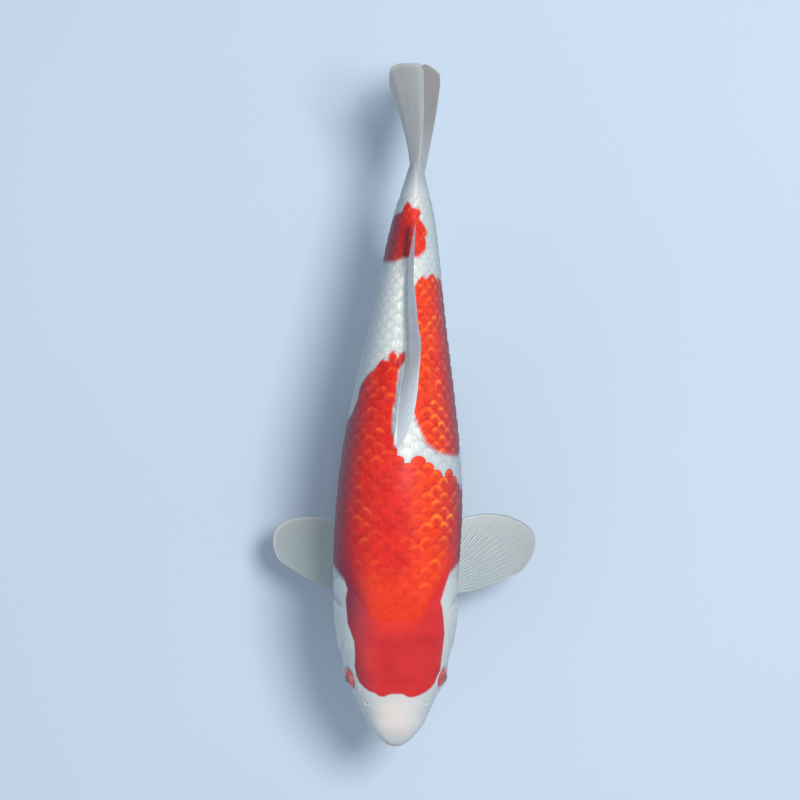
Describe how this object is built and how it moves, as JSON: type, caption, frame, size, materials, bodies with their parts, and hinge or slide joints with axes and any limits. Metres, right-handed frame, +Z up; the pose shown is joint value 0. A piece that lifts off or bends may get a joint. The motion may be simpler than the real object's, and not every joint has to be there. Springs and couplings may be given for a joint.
{
  "type": "koi carp display model",
  "caption": "Life-size white koi carp with red patches, hovering level with spread paired fins and a twisted tail fin, on a slim base with rods under the belly.",
  "frame": {"origin": "on the floor under the middle of the model's length and width", "axes": "+Z up to the fish's back, -Y towards its snout, +Y towards its tail, +X towards its left side"},
  "size_m": [0.219, 0.5535, 0.2096],
  "materials": {
    "skin_red": "glossy painted resin, red over fine scales",
    "skin_white": "glossy painted resin, bluish white over fine scales",
    "fin": "satin translucent resin with fine rays",
    "eye": "polished dark glass eye",
    "stand_wood": "dark stained and waxed",
    "stand_steel": "brushed"
  },
  "bodies": {
    "root": {"head": "skin_red", "lower_jaw": "skin_white", "gill_cover_left": "skin_white", "gill_cover_right": "skin_white", "eye_left": "eye", "eye_right": "eye", "barbel_front_left": "skin_white", "barbel_front_right": "skin_white", "barbel_rear_left": "skin_white", "barbel_rear_right": "skin_white", "trunk_front": "skin_red", "trunk_rear": "skin_red", "tail_stem": "skin_white", "dorsal_fin": "fin", "pectoral_fin_left": "fin", "pectoral_fin_right": "fin", "pelvic_fin_left": "fin", "pelvic_fin_right": "fin", "anal_fin": "fin", "tail_fin": "fin", "stand_base": "stand_wood", "stand_rod_front": "stand_steel", "stand_rod_rear": "stand_steel"}
  },
  "joints": []
}
